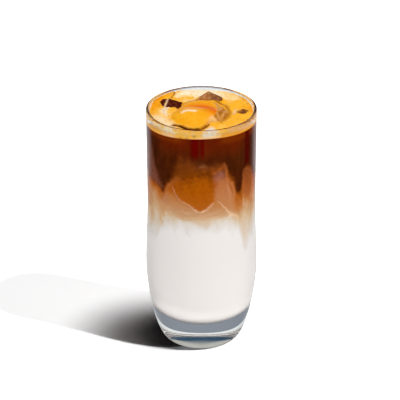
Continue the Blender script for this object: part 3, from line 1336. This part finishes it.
# On the wall: degrees round, height in mm, and half width in degrees
WALL_SPECKS = ((-15.5, 144.6, 1.3), (-7.6, 145.9, 1.6), (-19.5, 149.0, 1.2), (-22.5, 144.2, 1.2))


def crema_fields(points, on_top):
    """Shares of pale foam, deep gold, rose foam and open coffee on the crema."""
    angle = degrees_round(points)
    across, back, height = points.T / MM
    swirl = clouds(points, 7.0 * MM, 51)
    grain = clouds(points, 2.6 * MM, 52)
    moved = points + MM * np.stack([0.9 * swirl, 0.9 * grain + 0.6 * swirl, 0.0 * swirl], axis=1)
    shares = dict(
        pale=0.28 + 0.07 * swirl + 0.04 * grain, deep=0.10 + 0.05 * swirl, rose=np.zeros(len(points)),
    )
    for patch in FOAM_TOP.values():
        inside = on_patch(moved, patch["outline"], patch["soft"])
        for name, values in shares.items():
            share = patch.get(name, 0.0)
            values += (share + 0.06 * grain * (share > 0.0) - values) * inside

    side = (~on_top).astype(float)
    wall = dict(pale=0.5 + 0.05 * grain, deep=np.full(len(points), 0.2), rose=np.full(len(points), 0.2))
    u = np.radians(angle) * WALL_ARC_MM + 0.5 * swirl + 0.3 * grain
    v = height + 0.25 * grain
    for patch in FOAM_WALL.values():
        inside = covered(u, v, on_wall(patch["outline"], True), patch["soft"])
        for name, values in wall.items():
            values += (patch.get(name, 0.0) + 0.05 * grain - values) * inside
    for name, values in shares.items():
        values += (wall[name] - values) * side

    above_coffee = height - (settings("iced_drink").coffee_top + wave(points, CREMA_WAVES)) / MM
    thin_foot = 0.75 * side * climb(above_coffee, 1.1, 0.2)
    ring = over(points, PALE_RING, 0.7) * (1.0 - side)
    shares["pale"] += 0.15 * ring
    shares["rose"] = np.maximum(shares["rose"], 0.5 * ring)
    dark = [0.7 * over(points, SLIT, 0.3), 0.75 * over(points, BROWN_ARC, 1.3, ARC_STRENGTH)]
    dark += [strength * over(points, line, 1.0) * (1.0 - side) for strength, line in GAPS]
    shares["deep"] = np.maximum(np.maximum(shares["deep"], thin_foot), 1.3 * np.max(dark, axis=0))
    dark += [0.6 * dab(np.hypot(across - x, back - y), half) for x, y, half in SPECKS]
    for middle, level, half in WALL_SPECKS:
        dark.append(0.6 * side * dab(np.hypot((angle - middle) / half, (height - level) / SPECK_HALF), 1.0))
    shares["dark"] = np.max(dark, axis=0)
    return {name: np.clip(share, 0.0, 1.0) for name, share in shares.items()}


FOAM_EDGE = 29.6  # radius in mm where the foam's top gives way to its edge
COLLAR_HALF = 1.1 * MM  # how far from the ice the foam still climbs
CURL_START = 0.955  # share of the way out to the wall where the foam starts to curl down
FREE_STEP = 0.8 * MM  # height over which its edge draws in from the wall
ICE_IN_FOAM = ("glazed_ice", "ice_left_clear", "ice_back_clear", "ice_right_clear")
# How far the foam's edge curls down at the wall: degrees round from the front, and share of the setting
CURL_SHARE = (
    (-180, 0.0), (-168, -0.2), (-152, -0.9), (-112, -0.9), (-98, 0.0), (-84, 0.7), (-60, 0.6), (0, 0.3),
    (60, 0.6), (86, 0.8), (100, 0.0), (118, -0.6), (145, -0.6), (162, -0.2), (180, 0.0),
)


def close_to_ice(points, on_top):
    """How close each point of the foam's top is to the ice, from 1 at the ice to 0."""
    graph = bpy.context.evaluated_depsgraph_get()
    trees = [BVHTree.FromObject(bpy.data.objects[name], graph) for name in ICE_IN_FOAM]
    share = np.zeros(len(points))
    for i in np.flatnonzero(on_top):
        away = min(tree.find_nearest(Vector(points[i]))[3] for tree in trees)
        share[i] = dab(away, COLLAR_HALF)
    return share


class MakeCrema(bpy.types.Operator):
    """Lays the crema, with its curled edge and its climb round the ice"""

    bl_idname = "iced_coffee.crema"
    bl_label = "Crema"

    def execute(self, context):
        s, drink = context.scene.iced_crema, context.scene.iced_drink
        material = crema_foam()
        side = wall_section(drink.coffee_top, drink.crema_top, drink.row)
        top = to_middle(side[0][0], drink.crema_top, TOP_RINGS)[::-1]
        section = top + side + to_middle(side[-1][0], drink.coffee_top, DISC_RINGS)
        mesh = turned_mesh("crema_layer", section, drink.segments, material)
        points = coordinates(mesh)
        on_top = points[:, 2] > drink.crema_top - 0.01 * MM
        share = (points[:, 2] - drink.coffee_top) / (drink.crema_top - drink.coffee_top)
        radius = np.hypot(points[:, 0], points[:, 1])
        outwards = radius / side[0][0]
        flat = points * np.array([1.0, 1.0, 0.0])
        swell = s.swell * (clouds(flat, 9.0 * MM, 54) + 0.25 * clouds(flat, 2.2 * MM, 55))
        swell *= climb(radius / MM, FOAM_EDGE, FOAM_EDGE - 4.0)
        curl = s.curl * at_angle(CURL_SHARE, degrees_round(points)) * climb(outwards, CURL_START, 1.0)
        gap = np.clip(1.2 * np.max([over(points, line, 0.8) for _, line in GAPS], axis=0), 0.0, 1.0)
        height = swell - curl + s.collar * close_to_ice(points, on_top) * (1.0 - gap) - s.gap_depth * gap
        height -= SLIT_DEPTH * over(points, SLIT, 0.4)
        free_foot = drink.crema_top - s.free_edge
        free = climb(points[:, 2], free_foot, free_foot + FREE_STEP)
        points[:, :2] *= (1.0 - free * outwards ** 8 * s.free_gap / side[0][0])[:, None]
        points[:, 2] += np.where(on_top, height, -share * curl) + (1.0 - share) * wave(points, CREMA_WAVES)
        move_points(mesh, points)
        paint(mesh, **crema_fields(points, on_top))
        finished("crema_layer", mesh, material, "crema", "crema")
        return {"FINISHED"}


BUBBLE_SEED = 4
SQUARE_CM = (10.0 * MM) ** 2
WALL_RING = (27.5, 29.3)  # radii in mm between which the bubbles crowd along the wall
WALL_CLEARANCE = 0.5 * MM  # how far from the wall they stay
FLAT_ENOUGH = 0.6  # upward share of a face's direction where bubbles still sit


def bubble_tree():
    """Sets bubbles of uneven size on a surface, more of them where the point number called coarse is high."""
    tree = geometry_tree("Bubbles on foam", (
        ("Density", "NodeSocketFloat", 60.0),
        ("Diameter", "NodeSocketFloat", 0.7 * MM),
        ("Seed", "NodeSocketInt", BUBBLE_SEED),
        ("Material", "NodeSocketMaterial", None),
    ))
    given = node(tree, "NodeGroupInput")
    coarse = node(tree, "GeometryNodeInputNamedAttribute", {"Name": "coarse"}, data_type="FLOAT")
    dense = node(tree, "ShaderNodeMath", {
        0: given.outputs["Density"], 1: coarse.outputs["Attribute"],
    }, operation="MULTIPLY")
    spots = node(tree, "GeometryNodeDistributePointsOnFaces", {
        "Mesh": given.outputs["Geometry"], "Density": dense.outputs["Value"], "Seed": given.outputs["Seed"],
    })
    ball = node(tree, "GeometryNodeMeshIcoSphere", {"Radius": 0.5, "Subdivisions": 2})
    rounded = node(tree, "GeometryNodeSetShadeSmooth", {"Geometry": ball.outputs["Mesh"]})
    chance = node(tree, "FunctionNodeRandomValue", {
        2: 0.0, 3: 1.0, "Seed": given.outputs["Seed"],
    }, data_type="FLOAT")
    few_large = node(tree, "ShaderNodeMath", {0: chance.outputs[1], 1: 3.0}, operation="POWER")
    spread = node(tree, "ShaderNodeMath", {
        0: few_large.outputs["Value"], 1: 1.3, 2: 0.45,
    }, operation="MULTIPLY_ADD")
    size = node(tree, "ShaderNodeMath", {
        0: spread.outputs["Value"], 1: given.outputs["Diameter"],
    }, operation="MULTIPLY")
    placed = node(tree, "GeometryNodeInstanceOnPoints", {
        "Points": spots.outputs["Points"], "Instance": rounded.outputs["Geometry"],
        "Scale": size.outputs["Value"],
    })
    plain = node(tree, "GeometryNodeRealizeInstances", {"Geometry": placed.outputs["Instances"]})
    faced = node(tree, "GeometryNodeSetMaterial", {
        "Geometry": plain.outputs["Geometry"], "Material": given.outputs["Material"],
    })
    node(tree, "NodeGroupOutput", {"Geometry": faced.outputs["Geometry"]})
    return tree


class MakeBubbles(bpy.types.Operator):
    """Scatters the bubbles that show on the crema, most of them along the wall and round the ice"""

    bl_idname = "iced_coffee.bubbles"
    bl_label = "Bubbles"

    def execute(self, context):
        s = context.scene.iced_crema
        source = bpy.data.objects["crema_layer"].data.copy()
        points = coordinates(source)
        radius = np.hypot(points[:, 0], points[:, 1])
        pale, dark = np.empty((2, len(points)), np.float32)
        source.attributes["pale"].data.foreach_get("value", pale)
        source.attributes["dark"].data.foreach_get("value", dark)
        by_wall = climb(radius / MM, *WALL_RING) * climb(radius / MM, FOAM_EDGE, WALL_RING[1])
        on_top = directions(source)[:, 2] > FLAT_ENOUGH
        inside = radius < inner_radius(GLASS_TOP) - WALL_CLEARANCE
        coarse = (0.12 + 0.5 * pale + 0.8 * by_wall) * (1.0 - dark) * on_top * inside
        paint(source, coarse=coarse)
        material = bubble_film()
        mesh = grown("foam_bubbles", source, bubble_tree(), {
            "Density": s.bubbles / SQUARE_CM, "Diameter": s.bubble_size, "Seed": BUBBLE_SEED,
            "Material": material,
        })
        finished("foam_bubbles", mesh, material, "crema")
        return {"FINISHED"}


# Studio

# Lamps: degrees round from +X against the clock seen from above, degrees up, share of the light, width in
# degrees, and whether it lights the floor, where it draws the shadow, or the drink
LAMPS = {
    "shadow lamp": (-21.0, 52.0, 1.0, 2.0, True),
    "key": (-35.0, 71.0, 0.74, 12.0, False),
    "overhead": (80.0, 84.0, 0.28, 60.0, False),
    "left fill": (-150.0, 8.0, 0.14, 60.0, False),
    "back fill": (100.0, 12.0, 0.12, 60.0, False),
}
SENSOR_MM = 36.0
SHIFT = -0.0035  # share of the picture's width, which sets the glass a little off the middle
TABLE_HALF = 4.0  # half the table's width
PAPER_TONES = ((0.0, "fbfbfb"), (1.0, "ffffff"))
DULL_TONE = "b0b0b0"
DARK_PLACE = (-21.0 * MM, -8.0 * MM, 0.0)  # the darkest place of the light table
GLOW_SHAPE = (1.0, 1.25, 1.0)  # how much faster it brightens in each direction
DULL_PAPER = (12.0 * MM, 26.0 * MM)  # how far from there the paper is dull, and where it is white
GLOW_RISE = (22.0 * MM, 75.0 * MM)  # where its glow starts, and where it is full
GREY_TABLE = "9497a1"  # what the table close behind looks like through the glass
FAR_TABLE = "f2f2f4"  # what it looks like far behind
FAR_RISE = (120.0 * MM, 260.0 * MM)  # where the one gives way to the other
BOX_LIGHT = 5.0  # brightness of the soft box overhead, which only reflections show
DARK_STUDIO = "24403c"  # what lies on both sides of the camera, which only bent rays reach
PALE_STUDIO = "a89ea4"  # what lies behind the camera
CEILING = "cac5bf"  # what lies above and behind, seen through the thick base
BLUE_CARD = "2c4c66"  # what lies higher still
WHITE = "ffffff"

# Where each part of the studio starts and is full, read from the X, Y or Z of a direction out of the glass
AHEAD = (-0.35, 0.15)  # Y: from the studio round the camera to the white behind the glass
TO_THE_SIDES = (0.15, 0.55)  # size of X: from the pale card behind the camera to the dark ones beside it
UPWARD = (0.10, 0.25)  # Z: from the white to the ceiling
HIGHER = (0.522, 0.545)  # Z: from the ceiling to the blue card
FAR_BEHIND = (0.45, 0.90)  # Y: where reflections see the studio brighten behind the glass
LEVEL = 0.05  # Z: below this reflections see that, and above it only the low gleam
BOX_UP = (0.5, 0.6)  # Z: from the plain air up to the soft box
BOX_FRONT = (0.25, 0.15)  # Y: from the plain air behind to the soft box
BEHIND_GLEAM = (0.01, 0.6)  # how bright reflections see it at the start and in full
LOW_GLEAM = 0.06  # how bright they see the rest
SOFT_LIGHT = 0.02  # brightness of the air where it only gives soft light


def lamp(name, turn, rise, strength, width, receivers):
    """A far lamp that lights only what the collection lets it light."""
    data = bpy.data.lights.new(name, "SUN")
    data.energy = strength * math.pi
    data.angle = math.radians(width)
    made = bpy.data.objects.new(name, data)
    bpy.context.scene.collection.objects.link(made)
    a, e = math.radians(turn), math.radians(rise)
    towards = Vector((math.cos(a) * math.cos(e), math.sin(a) * math.cos(e), math.sin(e)))
    made.rotation_euler = towards.to_track_quat("Z", "Y").to_euler()
    made.visible_glossy = False
    made.visible_transmission = False
    made.light_linking.receiver_collection = receivers
    return made


def lit_table():
    """A matt white light table: it glows away from the glass, which lets the shadow fade with distance."""
    s = settings("iced_stage")
    material, tree, output = new_material("matt white light table")
    where = node(tree, "ShaderNodeTexCoord").outputs["Object"]
    paper = node(tree, "ShaderNodeTexNoise", {"Vector": where, "Scale": 1.0 / (60.0 * MM)})
    tone = node(tree, "ShaderNodeValToRGB", {"Fac": paper.outputs["Fac"]}, stops=PAPER_TONES)
    offset = node(tree, "ShaderNodeVectorMath", {0: where, 1: DARK_PLACE}, operation="SUBTRACT")
    shaped = node(tree, "ShaderNodeVectorMath", {
        0: offset.outputs["Vector"], 1: GLOW_SHAPE,
    }, operation="MULTIPLY")
    away = node(tree, "ShaderNodeVectorMath", {0: shaped.outputs["Vector"]}, operation="LENGTH")
    clean = node(tree, "ShaderNodeMapRange", {
        "Value": away.outputs["Value"], "From Min": DULL_PAPER[0], "From Max": DULL_PAPER[1],
    }, interpolation_type="SMOOTHSTEP")
    white = node(tree, "ShaderNodeMix", {
        0: clean.outputs["Result"], 6: linear(DULL_TONE), 7: tone.outputs["Color"],
    }, data_type="RGBA")
    matt = node(tree, "ShaderNodeBsdfDiffuse", {"Color": white.outputs[2]})
    glow = node(tree, "ShaderNodeMapRange", {
        "Value": away.outputs["Value"], "From Min": GLOW_RISE[0], "From Max": GLOW_RISE[1], "To Max": s.glow,
    }, interpolation_type="SMOOTHSTEP")
    light = node(tree, "ShaderNodeEmission", {"Strength": glow.outputs["Result"]})
    table = node(tree, "ShaderNodeAddShader", {0: matt.outputs["BSDF"], 1: light.outputs["Emission"]})
    near = node(tree, "ShaderNodeVectorMath", {0: where}, operation="LENGTH")
    beyond = node(tree, "ShaderNodeMapRange", {
        "Value": near.outputs["Value"], "From Min": FAR_RISE[0], "From Max": FAR_RISE[1],
    }, interpolation_type="SMOOTHSTEP")
    seen_through = node(tree, "ShaderNodeMix", {
        0: beyond.outputs["Result"], 6: linear(GREY_TABLE), 7: linear(FAR_TABLE),
    }, data_type="RGBA")
    grey = node(tree, "ShaderNodeEmission", {"Color": seen_through.outputs[2]})
    path = node(tree, "ShaderNodeLightPath")
    shown = node(tree, "ShaderNodeMixShader", {
        0: path.outputs["Is Transmission Ray"], 1: table.outputs["Shader"], 2: grey.outputs["Emission"],
    })
    tree.links.new(shown.outputs["Shader"], output.inputs["Surface"])
    return material


def studio_air():
    """White to the camera and dim for soft light. The glass is given dark and pale cards, and a soft box."""
    world = bpy.data.worlds.new("studio")
    bpy.context.scene.world = world
    world.use_nodes = True
    tree = world.node_tree
    tree.nodes.clear()
    output = node(tree, "ShaderNodeOutputWorld")
    path = node(tree, "ShaderNodeLightPath")
    way = node(tree, "ShaderNodeTexCoord").outputs["Generated"]
    parts = node(tree, "ShaderNodeSeparateXYZ", {"Vector": way})
    ahead = node(tree, "ShaderNodeMapRange", {
        "Value": parts.outputs["Y"], "From Min": AHEAD[0], "From Max": AHEAD[1],
    }, interpolation_type="SMOOTHSTEP")
    through = node(tree, "ShaderNodeMath", {
        0: path.outputs["Is Camera Ray"], 1: ahead.outputs["Result"],
    }, operation="MAXIMUM")
    across = node(tree, "ShaderNodeMath", {0: parts.outputs["X"]}, operation="ABSOLUTE")
    aside = node(tree, "ShaderNodeMapRange", {
        "Value": across.outputs["Value"], "From Min": TO_THE_SIDES[0], "From Max": TO_THE_SIDES[1],
    }, interpolation_type="SMOOTHSTEP")
    near_side = node(tree, "ShaderNodeMix", {
        0: aside.outputs["Result"], 6: linear(PALE_STUDIO), 7: linear(DARK_STUDIO),
    }, data_type="RGBA")
    upward = node(tree, "ShaderNodeMapRange", {
        "Value": parts.outputs["Z"], "From Min": UPWARD[0], "From Max": UPWARD[1],
    }, interpolation_type="SMOOTHSTEP")
    bent_up = node(tree, "ShaderNodeMath", {
        0: upward.outputs["Result"], 1: path.outputs["Is Transmission Ray"],
    }, operation="MULTIPLY")
    higher = node(tree, "ShaderNodeMapRange", {
        "Value": parts.outputs["Z"], "From Min": HIGHER[0], "From Max": HIGHER[1],
    }, interpolation_type="SMOOTHSTEP")
    above = node(tree, "ShaderNodeMix", {
        0: higher.outputs["Result"], 6: linear(CEILING), 7: linear(BLUE_CARD),
    }, data_type="RGBA")
    far_side = node(tree, "ShaderNodeMix", {
        0: bent_up.outputs["Value"], 6: linear(WHITE), 7: above.outputs[2],
    }, data_type="RGBA")
    colour = node(tree, "ShaderNodeMix", {
        0: through.outputs["Value"], 6: near_side.outputs[2], 7: far_side.outputs[2],
    }, data_type="RGBA")
    behind = node(tree, "ShaderNodeMapRange", {
        "Value": parts.outputs["Y"], "From Min": FAR_BEHIND[0], "From Max": FAR_BEHIND[1],
        "To Min": BEHIND_GLEAM[0], "To Max": BEHIND_GLEAM[1],
    }, interpolation_type="SMOOTHSTEP")
    level_or_down = node(tree, "ShaderNodeMath", {0: parts.outputs["Z"], 1: LEVEL}, operation="LESS_THAN")
    gleam = node(tree, "ShaderNodeMix", {
        0: level_or_down.outputs["Value"], 2: LOW_GLEAM, 3: behind.outputs["Result"],
    }, data_type="FLOAT")
    seen = node(tree, "ShaderNodeMath", {
        0: path.outputs["Is Camera Ray"], 1: path.outputs["Is Transmission Ray"],
    }, operation="MAXIMUM")
    soft = node(tree, "ShaderNodeMix", {
        0: path.outputs["Is Glossy Ray"], 2: SOFT_LIGHT, 3: gleam.outputs[0],
    }, data_type="FLOAT")
    high = node(tree, "ShaderNodeMapRange", {
        "Value": parts.outputs["Z"], "From Min": BOX_UP[0], "From Max": BOX_UP[1], "To Max": BOX_LIGHT,
    })
    front = node(tree, "ShaderNodeMapRange", {
        "Value": parts.outputs["Y"], "From Min": BOX_FRONT[0], "From Max": BOX_FRONT[1],
    })
    box = node(tree, "ShaderNodeMath", {
        0: high.outputs["Result"], 1: front.outputs["Result"],
    }, operation="MULTIPLY")
    boxed = node(tree, "ShaderNodeMath", {
        0: box.outputs["Value"], 1: path.outputs["Is Glossy Ray"],
    }, operation="MULTIPLY")
    both = node(tree, "ShaderNodeMath", {0: soft.outputs[0], 1: boxed.outputs["Value"]}, operation="ADD")
    level = node(tree, "ShaderNodeMix", {
        0: seen.outputs["Value"], 2: both.outputs["Value"], 3: 1.0,
    }, data_type="FLOAT")
    air = node(tree, "ShaderNodeBackground", {"Color": colour.outputs[2], "Strength": level.outputs[0]})
    tree.links.new(air.outputs["Background"], output.inputs["Surface"])


class MakeStage(bpy.types.Operator):
    """Sets the table, the lamps, the air and the camera"""

    bl_idname = "iced_coffee.stage"
    bl_label = "Stage"

    def execute(self, context):
        s = context.scene.iced_stage
        mesh = bpy.data.meshes.new("table")
        shape = bmesh.new()
        bmesh.ops.create_grid(shape, x_segments=1, y_segments=1, size=TABLE_HALF)
        shape.to_mesh(mesh)
        shape.free()
        mesh.materials.append(lit_table())
        table = bpy.data.objects.new("table", mesh)
        context.scene.collection.objects.link(table)
        table.visible_glossy = False
        studio_air()
        only_table = bpy.data.collections.new("only the table")
        only_table.objects.link(table)
        not_table = bpy.data.collections.new("all but the table")
        not_table.objects.link(table)
        not_table.collection_objects[0].light_linking.link_state = "EXCLUDE"
        for name, (turn, rise, share, width, for_table) in LAMPS.items():
            if for_table:
                strength = s.table_light * share / math.sin(math.radians(rise))
                lamp(name, turn, rise, strength, width, only_table)
            else:
                lamp(name, turn, rise, s.drink_light * share, width, not_table)
        data = bpy.data.cameras.new("camera")
        data.lens = s.lens
        data.sensor_width = SENSOR_MM
        data.shift_x = SHIFT
        camera = bpy.data.objects.new("camera", data)
        context.scene.collection.objects.link(camera)
        camera.location = (
            0.0, -s.distance * math.cos(s.pitch), s.aim_height + s.distance * math.sin(s.pitch),
        )
        camera.rotation_euler = (math.pi / 2 - s.pitch, 0.0, 0.0)
        context.scene.camera = camera
        view = context.scene.view_settings
        view.view_transform = "Standard"
        view.look = "None"
        return {"FINISHED"}


STEPS = (
    MakeTumbler, MakeMilk, MakeBlend, MakeCoffee, MakeSunkIce, MakeGlazedIce, MakeClearIce, MakeCrema,
    MakeBubbles, MakeStage,
)


class IcedCoffeePanel(bpy.types.Panel):
    """Lists the steps that dress the part"""

    bl_idname = "VIEW3D_PT_iced_coffee"
    bl_label = "Iced Coffee"
    bl_space_type = "VIEW_3D"
    bl_region_type = "UI"
    bl_category = "Iced Coffee"

    def draw(self, context):
        for step in STEPS:
            self.layout.operator(step.bl_idname)
        for name in SETTINGS:
            box = self.layout.box()
            group = getattr(context.scene, name)
            for prop in group.bl_rna.properties:
                if prop.identifier not in {"rna_type", "name"}:
                    box.prop(group, prop.identifier)


def register():
    """Adds the settings to the scene, then the steps and the panel."""
    for name, group in SETTINGS.items():
        bpy.utils.register_class(group)
        setattr(bpy.types.Scene, name, bpy.props.PointerProperty(type=group))
    for step in STEPS:
        bpy.utils.register_class(step)
    bpy.utils.register_class(IcedCoffeePanel)


def unregister():
    """Takes away what register added."""
    bpy.utils.unregister_class(IcedCoffeePanel)
    for step in reversed(STEPS):
        bpy.utils.unregister_class(step)
    for name, group in SETTINGS.items():
        delattr(bpy.types.Scene, name)
        bpy.utils.unregister_class(group)


def main():
    """Runs the steps and writes down how large the object is."""
    register()
    for step in STEPS:
        group, name = step.bl_idname.split(".")
        getattr(getattr(bpy.ops, group), name)()


if __name__ == "__main__":
    main()
